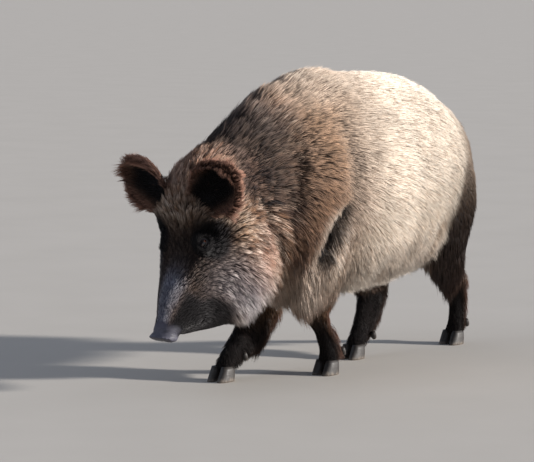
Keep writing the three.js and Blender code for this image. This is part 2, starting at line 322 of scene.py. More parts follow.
def hide_grain_group():
    """Fine bump of bare or thinly haired hide: pores, creases and short flat hairs."""
    group, wire, given, asked = new_group(
        "Hide grain", {"Hair": "value"}, {"Height": "value", "Wear": "value"}
    )
    pores = wire.node("ShaderNodeTexVoronoi", feature="DISTANCE_TO_EDGE")
    pores.inputs["Scale"].default_value = 420.0
    place_of = wire.node("ShaderNodeTexCoord")
    wire.join(place_of.outputs["Object"], pores.inputs["Vector"])
    cracks = wire.ramp(pores.outputs["Distance"], 0.0, 0.12)
    creases = wire.specks(70.0, 4.0, (1.0, 1.0, 2.6))
    hairs = wire.specks(260.0, 3.0, (1.0, 1.0, 0.16))
    bare = wire.sum("ADD", wire.sum("MULTIPLY", cracks, 0.4), wire.sum("MULTIPLY", creases, 0.6))
    haired = wire.sum("MULTIPLY_ADD", hairs, 0.8, wire.sum("MULTIPLY", creases, 0.2))
    mixed = wire.node("ShaderNodeMix", data_type="FLOAT")
    wire.join(given["Hair"], mixed.inputs[0])
    wire.join(bare, mixed.inputs[2])
    wire.join(haired, mixed.inputs[3])
    wire.join(mixed.outputs[0], asked["Height"])
    wire.join(creases, asked["Wear"])
    return group


coat_colour = coat_colour_group()
hide_grain = hide_grain_group()


def new_material(name, roughness, specular=0.5):
    """A material with its wiring and its Principled shader."""
    material = bpy.data.materials.new(name)
    material.use_nodes = True
    wire = Wiring(material.node_tree)
    shader = material.node_tree.nodes["Principled BSDF"]
    shader.inputs["Roughness"].default_value = roughness
    shader.inputs["Specular IOR Level"].default_value = specular
    return material, wire, shader


def placed(wire, group, **inputs):
    """A node group in a material, with its inputs given by name."""
    made = wire.node("ShaderNodeGroup", node_tree=group)
    for name, source in inputs.items():
        wire.feed(made.inputs[name], source)
    return made.outputs


def marked_colour(wire, along):
    """The coat's colour from the markings that a mesh carries."""
    shares = {mark.capitalize(): wire.stored(mark) for mark in MARKS}
    return placed(wire, coat_colour, Along=along, Shade=wire.stored("shade"), **shares)["Color"]


def bristle_material():
    """Coarse boar hair: dark at the root, split and light at the tip."""
    material, wire, shader = new_material("Boar bristle", 0.5, 0.16)
    wire.join(marked_colour(wire, wire.stored("along")), shader.inputs["Base Color"])
    wire.join(wire.sum("MULTIPLY_ADD", wire.stored("shade"), 0.15, 0.50), shader.inputs["Roughness"])
    return material


def hide_material():
    """The skin under the coat, with the coat's markings, and bare slate skin on the snout. Its deep places, in the
    nostrils, the mouth crease and round the eyes, are painted near-black as shade.
    """
    material, wire, shader = new_material("Boar hide", 0.6, 0.4)
    bare = wire.stored("bare")
    grain = placed(wire, hide_grain, Hair=wire.sum("SUBTRACT", 1.0, bare))
    haired = marked_colour(wire, wire.sum("MULTIPLY_ADD", grain["Height"], 0.35, 0.12))
    slate = wire.blend(grain["Wear"], linear(34, 33, 40), linear(84, 83, 96))
    deep = wire.stored("deep")
    # Painted shade: the deep places turn near-black.
    hollow = wire.blend(deep, slate, linear(12, 9, 10))
    wire.join(wire.blend(bare, haired, hollow), shader.inputs["Base Color"])
    wet = wire.sum("MULTIPLY_ADD", bare, -0.28, wire.sum("MULTIPLY_ADD", deep, 0.2, 0.72))
    wire.join(wire.sum("MULTIPLY_ADD", grain["Wear"], 0.12, wet), shader.inputs["Roughness"])
    gloss = wire.sum("MULTIPLY_ADD", deep, -0.3, wire.sum("MULTIPLY_ADD", bare, 0.28, 0.1), clamp=True)
    wire.join(gloss, shader.inputs["Specular IOR Level"])
    wire.join(wire.bump(grain["Height"], 0.55, 0.0012), shader.inputs["Normal"])
    return material


def horn_material():
    """Dull dark horn with growth rings, paler and scuffed towards the edge of the sole."""
    material, wire, shader = new_material("Hoof horn", 0.55, 0.4)
    rings = wire.specks(60.0, 2.0, (0.4, 0.4, 6.0))
    scuffs = wire.specks(140.0, 4.0, (1.0, 1.0, 0.5))
    base = wire.blend(rings, linear(26, 23, 22), linear(54, 49, 46))
    worn = wire.ramp(wire.sum("MULTIPLY_ADD", scuffs, 0.7, wire.stored("tip")), 1.0, 1.55)
    wire.join(wire.blend(worn, base, linear(112, 102, 92)), shader.inputs["Base Color"])
    wire.join(wire.sum("MULTIPLY_ADD", scuffs, 0.35, 0.38), shader.inputs["Roughness"])
    wire.join(wire.bump(wire.sum("MULTIPLY_ADD", rings, 0.7, scuffs), 0.5, 0.001), shader.inputs["Normal"])
    return material


def eye_material():
    """A wet eye: dark brown rim, reddish brown iris with fine rays, a black pupil."""
    material, wire, shader = new_material("Boar eye", 0.08, 0.6)
    off = wire.stored("off_axis")
    rays = wire.specks(900.0, 3.0)
    iris = wire.blend(rays, linear(30, 15, 10), linear(78, 42, 25))
    rim = wire.blend(wire.ramp(off, 0.50, 0.62), iris, linear(16, 10, 8))
    pupil = wire.blend(wire.ramp(off, 0.20, 0.27), linear(4, 3, 3), rim)
    wire.join(pupil, shader.inputs["Base Color"])
    shader.inputs["Coat Weight"].default_value = 0.6
    shader.inputs["Coat Roughness"].default_value = 0.10
    return material


# ---------------------------------------------------------------- the skin

LEGS = ("foreleg_left", "foreleg_right", "hindleg_left", "hindleg_right")
FLESH = ["trunk", "neck", "head", "lower_jaw", "snout_disc", "tail", "ear_left", "ear_right"]
FLESH += [f"{leg}_{part}" for leg in LEGS for part in ("upper", "lower")]
NUMBER = {name: index for index, name in enumerate(FLESH)}
SKIN_VOXEL = 0.007


def joined_flesh():
    """All solids of flesh in one mesh, and the number of the solid that each face comes from."""
    flesh = bmesh.new()
    owners = []
    for name in FLESH:
        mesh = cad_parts[name].data
        flesh.from_mesh(mesh)
        owners += [NUMBER[name]] * len(mesh.polygons)
    flesh.faces.ensure_lookup_table()
    return flesh, np.array(owners)


flesh, flesh_owners = joined_flesh()
flesh_tree = BVHTree.FromBMesh(flesh)


def shares_of_flesh(mesh, times):
    """How far each vertex of a mesh belongs to each solid of flesh, blended where they meet."""
    points = read(mesh, "co")
    own = np.zeros((len(points), len(FLESH)))
    for index, point in enumerate(points):
        own[index, flesh_owners[flesh_tree.find_nearest(Vector(point))[2]]] = 1.0
    return spread(own, read(mesh, "edges"), times)


def by_part(shares, table, default):
    """A value for each vertex from a table of the parts' own values."""
    return shares @ np.array([float(table.get(name, default)) for name in FLESH])


def even_mesh(source, voxel):
    """A closed, even mesh round everything in a bmesh, without anything enclosed in it."""
    mesh = bpy.data.meshes.new("Even")
    source.to_mesh(mesh)
    holder = bpy.data.objects.new("Even", mesh)
    scene.collection.objects.link(holder)
    remesh = holder.modifiers.new("Even", "REMESH")
    remesh.mode = "VOXEL"
    remesh.voxel_size = voxel
    made = bpy.data.meshes.new_from_object(holder.evaluated_get(bpy.context.evaluated_depsgraph_get()))
    bpy.data.objects.remove(holder)
    bpy.data.meshes.remove(mesh)
    whole = bmesh.new()
    whole.from_mesh(made)
    whole.verts.ensure_lookup_table()
    seen = np.zeros(len(whole.verts), bool)
    islands = []
    for start in whole.verts:
        if seen[start.index]:
            continue
        island, stack = [], [start]
        seen[start.index] = True
        while stack:
            vertex = stack.pop()
            island.append(vertex)
            for edge in vertex.link_edges:
                other = edge.other_vert(vertex)
                if not seen[other.index]:
                    seen[other.index] = True
                    stack.append(other)
        islands.append(island)
    islands.sort(key=len)
    for island in islands[:-1]:
        bmesh.ops.delete(whole, geom=island, context="VERTS")
    whole.to_mesh(made)
    whole.free()
    return made


DEPTH = {  # how far the skin lies inside each solid, in metres
    "trunk": 0.011, "neck": 0.018, "head": 0.009, "lower_jaw": 0.006, "snout_disc": 0.0008,
    "tail": 0.007, "ear_left": 0.0035, "ear_right": 0.0035,
}
DEPTH.update({f"{leg}_upper": 0.013 for leg in LEGS})
DEPTH.update({f"{leg}_lower": 0.0065 for leg in LEGS})


def ruff(points):
    """1 on the long-haired cheeks and throat, 0 on the face and muzzle."""
    along, out = head_place(points)
    return smoothstep(0.05, 0.16, -out + 0.1 * (along - 0.2)) * (1.0 - smoothstep(0.33, 0.40, along))


def topline(points, normals):
    """1 along the mane of the nape and the shoulder hump."""
    ridge = smoothstep(0.45, 0.9, normals[:, 2]) * (1.0 - smoothstep(0.02, 0.16, np.abs(points[:, 0])))
    return ridge * (1.0 - smoothstep(-0.40, 0.45, points[:, 1])) * smoothstep(0.45, 0.55, points[:, 2])


def coat_depth(points, normals, shares):
    """How deep under the solids' surface the skin lies."""
    depth = by_part(shares, DEPTH, 0.012)
    on_head = shares[:, NUMBER["head"]] + shares[:, NUMBER["lower_jaw"]]
    along = head_place(points)[0]
    depth += on_head * (0.010 * ruff(points) - 0.005 * smoothstep(0.27, 0.36, along) * (1 - ruff(points)))
    depth += 0.006 * topline(points, normals)
    return depth * smoothstep(0.028, 0.10, points[:, 2] + 0.02)


def from_line(points, ends):
    """Each point's distance from a line and its share of the way along it."""
    start, end = (np.asarray(end) for end in ends)
    line = end - start
    share = np.clip((points - start) @ line / (line @ line), 0.0, 1.0)
    return np.linalg.norm(points - start - share[:, None] * line, axis=1), share


def beside(points, ends, radius):
    """1 on a line, falling smoothly to 0 at that radius from it."""
    return 1.0 - smoothstep(0.0, radius, from_line(points, ends)[0])


def folded(points, normals, ends, width, deep):
    """Presses a crease along a line into a surface."""
    gap, share = from_line(points, ends)
    taper = smoothstep(0.0, 0.25, share) * (1.0 - smoothstep(0.8, 1.0, share)) * 0.8 + 0.2
    press = np.exp(-((gap / width) ** 2)) * taper
    return points - normals * (deep * press)[:, None]


def lid_frame(side):
    """An eye's centre, the way it looks, its long axis and the axis across its lids."""
    centre = mirrored(EYE_AT, side)
    looks = mirrored(EYE_LOOKS, side)
    long = mirrored(LID_LINE, side)
    long = unit(long - looks * (long @ looks))
    return centre, looks, long, np.cross(looks, long) * side


def eye_hollowed(points, side):
    """Draws the skin round one eyeball: a hollow, two lids over the ball and an almond gap between them."""
    centre, looks, long, over = lid_frame(side)
    away = points - centre
    u, v, w = away @ long, away @ over, away @ looks
    r = np.hypot(u, v)
    reach = 0.036
    blend = (1.0 - smoothstep(0.5 * reach, reach, r)) * smoothstep(-0.02, -0.006, w)
    ball = EYE_RADIUS + 0.0016
    dome = np.sqrt(np.maximum(ball**2 - r**2, 0.0)) * (r < ball)
    brow = 0.0040 * np.exp(-(((v - 0.014) / 0.006) ** 2)) * np.exp(-((u / 0.018) ** 2))
    under = 0.0009 * np.exp(-(((v + 0.013) / 0.004) ** 2)) * np.exp(-((u / 0.016) ** 2))
    socket = 0.0095 + 0.003 * smoothstep(0.012, 0.034, r) + brow + under
    skin = np.maximum(dome, socket - 0.0010 * np.exp(-(((r - 0.0145) / 0.0025) ** 2)))
    long_half, upper, lower = 0.0100, 0.0035, 0.0026
    bow = np.sqrt(np.maximum(1.0 - (u / long_half) ** 2, 0.0))
    gap = np.where(v > 0, upper, lower) * bow
    inside = 1.0 - smoothstep(-0.0004, 0.0007, np.abs(v) - gap)
    inside = inside * (np.abs(u) < long_half)
    rim = np.exp(-(((np.abs(v) - gap - 0.0012) / 0.0011) ** 2)) * (np.abs(u) < long_half * 1.1)
    skin = skin + 0.0006 * rim
    behind = np.sqrt(np.maximum(EYE_RADIUS**2 - r**2, 0.0)) - 0.0022
    target = skin * (1.0 - inside) + behind * inside
    moved = points + looks * ((target - w) * blend)[:, None]
    return moved, inside * blend, (1 - smoothstep(0.0085, 0.0128, r)) * blend


def nostril_pressed(points, side):
    """Sinks one nostril into the snout disc. Gives the moved points and how deep each lies."""
    along, out = head_place(points)
    x = points[:, 0] * side
    gap = np.hypot((x - 0.0155) / 0.0075, (out + 0.002) / 0.0098)
    face = smoothstep(HEAD_LENGTH - 0.016, HEAD_LENGTH - 0.006, along)
    sunk = (1.0 - smoothstep(0.55, 1.0, gap)) * face
    rim = np.exp(-(((gap - 1.15) / 0.2) ** 2)) * face
    inwards = -LENGTHWISE * (0.013 * sunk - 0.0012 * rim)[:, None]
    return points + inwards, sunk


def split_finer(mesh, chosen):
    """Divides the faces whose corners are all chosen."""
    work = bmesh.new()
    work.from_mesh(mesh)
    work.verts.ensure_lookup_table()
    marked = {vertex for vertex in work.verts if chosen[vertex.index]}
    edges = [edge for edge in work.edges if edge.verts[0] in marked and edge.verts[1] in marked]
    bmesh.ops.subdivide_edges(work, edges=edges, cuts=1, use_grid_fill=True, smooth=0.0)
    work.to_mesh(mesh)
    work.free()


# Creases on the left side: behind the elbow and before the knee. The right side's lie further forward.
ELBOW_FOLD = ((0.214, -0.150, 0.470), (0.178, -0.212, 0.345))
STIFLE_FOLD = ((0.200, 0.330, 0.420), (0.140, 0.300, 0.300))
RIGHT_FORWARD = 0.036
MELTED = 45  # rounds of evening where the legs' muscles run into the trunk


def made_skin():
    """The skin's mesh: the solids' outline drawn in by the coat's depth, finer on the face."""
    filled = flesh.copy()
    for side in SIDES.values():
        spot = Matrix.Translation(mirrored(EYE_AT - EYE_LOOKS * 0.004, side))
        bmesh.ops.create_uvsphere(filled, u_segments=20, v_segments=12, radius=0.021, matrix=spot)
    mesh = even_mesh(filled, SKIN_VOXEL)
    filled.free()
    edges = read(mesh, "edges")
    shares = shares_of_flesh(mesh, 10)
    points, normals = read(mesh, "co"), read(mesh, "normal")
    depth = coat_depth(points, normals, shares)
    ears = shares[:, NUMBER["ear_left"]] + shares[:, NUMBER["ear_right"]]
    points = points - normals * spread(depth, edges, 4)[:, None]
    even = spread(points, edges, 3)
    points = points + (even - points) * (1.0 - 0.7 * ears)[:, None]
    thigh = by_part(shares, {"trunk": 1.0, "neck": 0.8, **{f"{leg}_upper": 1.0 for leg in LEGS}}, 0.0)
    melt = spread(thigh * smoothstep(0.36, 0.48, points[:, 2]), edges, 4)
    points = points + (spread(points, edges, MELTED) - points) * melt[:, None]
    place(mesh, points)
    along, out = head_place(points)
    front = shares[:, NUMBER["head"]] + shares[:, NUMBER["lower_jaw"]] + shares[:, NUMBER["snout_disc"]]
    face = (front > 0.6) & (along > 0.10) & (out > -0.15 - 0.1 * smoothstep(0.3, 0.4, along))
    split_finer(mesh, face)
    for radius, disc in ((0.036, True), (0.024, False)):
        points = read(mesh, "co")
        chosen = np.zeros(len(points), bool)
        for side in SIDES.values():
            chosen |= np.linalg.norm(points - mirrored(EYE_AT, side), axis=1) < radius
        if disc:
            chosen |= head_place(points)[0] > HEAD_LENGTH - 0.022
        split_finer(mesh, chosen)
    edges = read(mesh, "edges")
    points = spread(read(mesh, "co"), edges, 2)
    place(mesh, points)
    return mesh


skin_mesh = made_skin()


def sculpted(mesh):
    """Presses folds, mouth, nostrils and eyes into the skin. Gives its bare places, and its deep places, which the
    hide paints dark as shade.
    """
    points, normals = read(mesh, "co"), read(mesh, "normal")
    bare = np.zeros(len(points))
    deep = np.zeros(len(points))
    for side in SIDES.values():
        shift = np.array([0.0, -RIGHT_FORWARD if side < 0 else 0.0, 0.0])
        for fold, width, depth in ((ELBOW_FOLD, 0.026, 0.040), (STIFLE_FOLD, 0.022, 0.012)):
            ends = [mirrored(end, side) + shift for end in fold]
            points = folded(points, normals, ends, width, depth)
    along, out = head_place(points)
    corner, front = (np.array(end) for end in (MOUTH_CORNER, MOUTH_FRONT))
    line = front - corner
    share = np.clip(((along - corner[0]) * line[0] + (out - corner[1]) * line[1]) / (line @ line), 0, 1)
    gap = np.hypot(along - corner[0] - share * line[0], out - corner[1] - share * line[1] - 0.006 * np.sin(share * 9))
    on_head = (points[:, 1] < -0.45) & (points[:, 2] < 0.45)
    press = np.exp(-((gap / 0.0035) ** 2)) * on_head * smoothstep(0.004, 0.012, np.abs(points[:, 0]))
    points = points - normals * (0.0025 * press)[:, None]
    # The mouth crease is a deep place, painted in shade.
    deep = np.maximum(deep, 0.6 * press)
    bridge = np.exp(-(((along - 0.225) / 0.060) ** 2)) * smoothstep(-0.05, 0.0, out) * on_head
    points = points - OUTWARD * (0.003 * bridge)[:, None]
    neck_of_disc = np.exp(-(((along - HEAD_LENGTH + 0.021) / 0.005) ** 2)) * on_head
    points = points - normals * (0.0022 * neck_of_disc)[:, None]
    disc = smoothstep(HEAD_LENGTH - 0.022, HEAD_LENGTH - 0.012, along) * on_head
    nose_top = smoothstep(0.400, 0.432, along) * smoothstep(-0.03, 0.0, out) * on_head
    bare = np.maximum(bare, np.maximum(disc, 0.9 * nose_top))
    ridge = np.exp(-(((along - HEAD_LENGTH + 0.006) / 0.004) ** 2)) * on_head * smoothstep(-0.01, 0.02, out)
    points = points + OUTWARD * (0.003 * ridge)[:, None]
    for side in SIDES.values():
        points, sunk = nostril_pressed(points, side)
        deep = np.maximum(deep, sunk)
        points, gap_of_lids, round_eye = eye_hollowed(points, side)
        bare = np.maximum(bare, round_eye)
        # The nostrils, the gap of the lids and the bare skin round each eye are deep places, painted in shade.
        deep = np.maximum(deep, np.maximum(gap_of_lids, np.clip(1.8 * round_eye, 0, 1)))
    for step, lift in ((0.062, 0.0030), (0.082, 0.0026), (0.104, 0.0020)):
        brow = np.exp(-(((along - 0.193 + step - 0.25 * (np.abs(points[:, 0]) - 0.06)) / 0.007) ** 2))
        brow = brow * near(np.abs(points) * [1, 0, 0] + points * [0, 1, 1], of_head(0.12, 0.0, 0.06), 0.07)
        points = points + normals * (lift * brow)[:, None]
    place(mesh, points)
    return bare, deep


# The deep places are painted dark as shade by the hide.
skin_bare, skin_shaded_hollows = sculpted(skin_mesh)
skin_edges = read(skin_mesh, "edges")
skin_points = read(skin_mesh, "co")
skin_normals = read(skin_mesh, "normal")
skin_shares = shares_of_flesh(skin_mesh, 8)


def part_share(*names):
    """How far each vertex of the skin belongs to any of those parts."""
    return sum(skin_shares[:, NUMBER[name]] for name in names)


LOWER_LEGS = [f"{leg}_lower" for leg in LEGS]
UPPER_LEGS = [f"{leg}_upper" for leg in LEGS]
EARS = ["ear_left", "ear_right"]
on_ears = part_share(*EARS)
on_head = part_share("head", "lower_jaw", "snout_disc")
on_lower_legs = part_share(*LOWER_LEGS)
on_upper_legs = part_share(*UPPER_LEGS)
level_points = skin_points * [0, 1, 1] + np.abs(skin_points) * [1, 0, 0]  # both sides as the left one
wide_shares = spread(skin_shares, skin_edges, 50) * (1 - on_ears)[:, None] + skin_shares * on_ears[:, None]

# Half the width of an ear at shares of the way from its base to its tip.
EAR_SHARES = (0.0, 0.18, 0.42, 0.68, 0.88, 1.0)
EAR_HALVES = (0.032, 0.056, 0.075, 0.070, 0.047, 0.014)


def ear_places(points, side):
    """Each point's share of the way along an ear, its distance across it, and the way across."""
    away = points - mirrored(EAR_BASE, side)
    across = unit(np.cross(mirrored(EAR_AXIS, side), mirrored(EAR_FACING, side)))
    return away @ mirrored(EAR_AXIS, side) / EAR_LENGTH, away @ across, across


def ear_rims():
    """1 on the rims of the ears, 1 on a broader edge of them, and the way that leads out over the nearest rim."""
    rim = np.zeros(len(skin_points))
    fringe = np.zeros(len(skin_points))
    way = np.zeros_like(skin_points)
    for name, side in SIDES.items():
        share, over, across = ear_places(skin_points, side)
        half = np.interp(share, EAR_SHARES, EAR_HALVES)
        edge = np.maximum(smoothstep(0.62, 0.90, np.abs(over) / half), smoothstep(0.76, 0.94, share))
        here = skin_shares[:, NUMBER[f"ear_{name}"]]
        rim += edge * here
        fringe += here * np.maximum(smoothstep(0.42, 0.72, np.abs(over) / half), smoothstep(0.62, 0.86, share))
        radial = across * (over / half)[:, None] + mirrored(EAR_AXIS, side) * (1.6 * (share - 0.35))[:, None]
        way += here[:, None] * unit(radial + 0.35 * mirrored(EAR_AXIS, side))
    return rim, fringe, way


ear_rim, ear_fringe, ear_way = ear_rims()
ear_cup = sum(
    skin_shares[:, NUMBER[f"ear_{name}"]] * smoothstep(0.1, 0.4, skin_normals @ mirrored(EAR_FACING, side))
    for name, side in SIDES.items()
) * (1.0 - ear_fringe)

# ---------------------------------------------------------------- markings and painted shade and light, the same for skin and hair


def by_fold(radius, ahead):
    """1 along the crease behind each elbow, or that far ahead of it, and 0 at that radius, seen from the side."""
    back = level_points[:, 1] + np.where(skin_points[:, 0] < 0, RIGHT_FORWARD, 0.0) + ahead
    places = np.stack([np.zeros(len(back)), back, level_points[:, 2]], 1)
    ends = [(0.0, y, z) for _, y, z in ELBOW_FOLD]
    return beside(places, ends, radius) * (level_points[:, 0] > 0.08)


def markings():
    """How pale, grey, rust-brown and dark each vertex of the skin is."""
    x, y, z = level_points.T
    along, out = head_place(skin_points)
    # the pale flank, the dark neck and legs
    body = 1.0 - np.clip(on_head + on_lower_legs + on_ears, 0, 1)
    behind_shoulder = smoothstep(-0.26, 0.10, y - 0.28 * (z - 0.55))
    hump = smoothstep(0.655, 0.735, z + 0.10 * (x - 0.10)) * smoothstep(-0.52, -0.40, y)
    # The neck and shoulder are darker: partly the coat's own dark brown, partly painted shade.
    neck_dark_and_shaded = (1.0 - smoothstep(-0.40, -0.15, y - 0.22 * (z - 0.52))) * (1.0 - hump)
    low_chest = 1.0 - smoothstep(0.27, 0.42, z)
    pale = body * (0.06 + 0.94 * behind_shoulder)
    pale *= 1.0 - 0.70 * smoothstep(0.36, 0.58, y)
    pale = np.maximum(pale, 0.52 * body * smoothstep(0.66, 0.80, z) * smoothstep(-0.42, -0.15, y))
    thigh = on_upper_legs * smoothstep(0.0, 0.2, y) * (1.0 - smoothstep(0.38, 0.70, z))
    thigh = spread(thigh, skin_edges, 25)
    pale *= 1.0 - 0.92 * thigh
    # The chest and throat are paler: partly pale hair, partly painted light that lifts the shade under the head.
    chest_pale_and_lit = (1 - on_head) * low_chest * smoothstep(0.10, 0.0, y) * (1.0 - on_lower_legs)
    pale = np.maximum(pale, 0.75 * chest_pale_and_lit * smoothstep(0.18, 0.24, z))
    # The rear edge of the upper arm is pale: partly pale hair, partly a painted lit edge beside the elbow crease.
    arm_edge_pale_and_lit = beside(level_points, ((0.205, -0.185, 0.430), (0.150, -0.215, 0.270)), 0.095) * (1.0 - on_lower_legs)
    arm_edge_pale_and_lit = smoothstep(0.0, 0.6, arm_edge_pale_and_lit)
    pale = np.maximum(pale, 0.98 * arm_edge_pale_and_lit)
    # the cheeks, and the bridge of the nose, grey partly from painted sky light
    ruff_hair = on_head * ruff(skin_points) * smoothstep(0.06, 0.12, along)
    nape = on_head * (1.0 - smoothstep(0.05, 0.11, along)) * (1.0 - smoothstep(-0.07, -0.03, out))
    tan_cheek = near(level_points, of_head(0.17, -0.15, 0.14), 0.15) * ruff_hair
    low_ruff = near(level_points, of_head(0.320, -0.19, 0.11), 0.12) * ruff_hair
    pale = np.maximum(pale, np.maximum(0.42 * smoothstep(0.0, 0.7, tan_cheek), 0.55 * low_ruff))
    grey_cheek = 0.55 * near(level_points, of_head(0.285, -0.09, 0.12), 0.13) * on_head
    # The bridge of the nose is grey where it faces out: partly grizzled hair, partly painted sky light on that side.
    nose_top_grey_and_skylit = on_head * smoothstep(-0.02, 0.010, out) * smoothstep(0.20, 0.30, along)
    nose_top_grey_and_skylit *= smoothstep(0.60, 0.92, skin_normals @ OUTWARD)
    grey = np.clip(grey_cheek + 0.5 * low_ruff + 0.95 * nose_top_grey_and_skylit, 0, 1)
    grey = np.maximum(grey, 0.20 * body * smoothstep(-0.2, -0.4, y) * smoothstep(0.6, 0.72, z))
    rust = 0.30 * on_head * (1.0 - smoothstep(0.02, 0.14, along)) + 0.50 * tan_cheek
    rust = np.maximum(rust, 0.35 * on_upper_legs * (1.0 - smoothstep(0.2, 0.4, z)))
    rust = np.maximum(rust, 0.25 * body * (1 - behind_shoulder) * (1.0 - smoothstep(0.3, 0.7, z)))
    rust = np.maximum(rust, 0.65 * ear_fringe)
    pale = np.maximum(pale, 0.16 * ear_fringe)
    # the legs' reddish backs and dark fronts, and the ears, with painted shade in their cups
    back_of_leg = on_lower_legs * smoothstep(0.0, 0.8, skin_normals[:, 1])
    rust = np.maximum(rust, 0.6 * back_of_leg)
    rust = np.maximum(rust, 0.12 * body * (1.0 - smoothstep(0.30, 0.44, z)) * smoothstep(-0.1, 0.05, y))
    fore = smoothstep(0.10, 0.0, y)
    dark = on_lower_legs * (0.97 - 0.35 * back_of_leg) * (1.0 - smoothstep(0.20, 0.32, z + 0.08 * fore))
    dark = np.maximum(dark, 0.85 * on_upper_legs * (1.0 - smoothstep(0.22, 0.36, z + 0.09 * fore)))
    # The cups of the ears are darker: their own dark hair, deepened by painted shade in the hollow.
    dark = np.maximum(dark, on_ears * (0.80 + 0.20 * ear_cup) * (1.0 - 0.60 * ear_fringe))
    neck_like = neck_dark_and_shaded * (1.0 - 0.9 * low_chest) * (1.0 - on_head - on_ears) * (1.0 - arm_edge_pale_and_lit) + nape
    dark = np.maximum(dark, np.maximum(0.88 * thigh, 0.82 * neck_like))
    # the dark face, with painted shade under the chin and the jaw
    eye_patch = smoothstep(0.0, 0.7, near(level_points, of_head(0.192, -0.025, 0.080), 0.102)) * on_head
    muzzle = smoothstep(-0.012, 0.012, along - 0.322 - 0.42 * np.clip(-out, 0, 0.2)) * on_head
    muzzle *= 1.0 - 0.85 * nose_top_grey_and_skylit
    pale, rust = (value * (1.0 - muzzle) for value in (pale, rust))
    grey = np.maximum(grey * (1.0 - 0.6 * muzzle), 0.30 * muzzle)
    # Painted shade over dark hair: the chin and the underside of the jaw are made dark.
    chin_dark_and_shaded = smoothstep(0.0, 0.8, near(level_points, of_head(0.362, -0.075, 0.08), 0.105)) * on_head
    under = on_head * smoothstep(0.33, 0.37, along) * (1.0 - smoothstep(-0.10, -0.06, out))
    for place_of in (eye_patch, muzzle, chin_dark_and_shaded, under):
        dark = np.maximum(dark, place_of)
    face = on_head * (1 - ruff_hair) * (1 - nape) * smoothstep(0.13, 0.20, along) * (1 - 0.8 * nose_top_grey_and_skylit)
    dark = np.maximum(dark, 0.80 * face)
    dark = np.maximum(dark, 0.52 * ruff_hair * (1 - tan_cheek) * (1 - low_ruff))
    forehead = on_head * (1 - smoothstep(0.150, 0.185, along)) * smoothstep(-0.14, -0.05, out)
    pale = np.maximum(pale, 0.22 * forehead)
    # the tail, the rump, and painted shade in the crease behind the elbow
    dark = np.maximum(dark, 0.35 * part_share("tail") + 0.50 * body * smoothstep(0.40, 0.60, y))
    # Painted shade: the crease behind the elbow is dark.
    dark = np.maximum(dark, smoothstep(0.05, 0.5, by_fold(0.032, -0.004)))
    dark = np.maximum(dark, 0.85 * body * smoothstep(0.42, 0.56, y) * (1.0 - smoothstep(0.36, 0.60, z)))
    return {"pale": pale, "grey": grey, "rust": rust, "dark": np.clip(dark, 0, 1)}


marks = {name: spread(values, skin_edges, 4) for name, values in markings().items()}

# ---------------------------------------------------------------- the lie of the coat

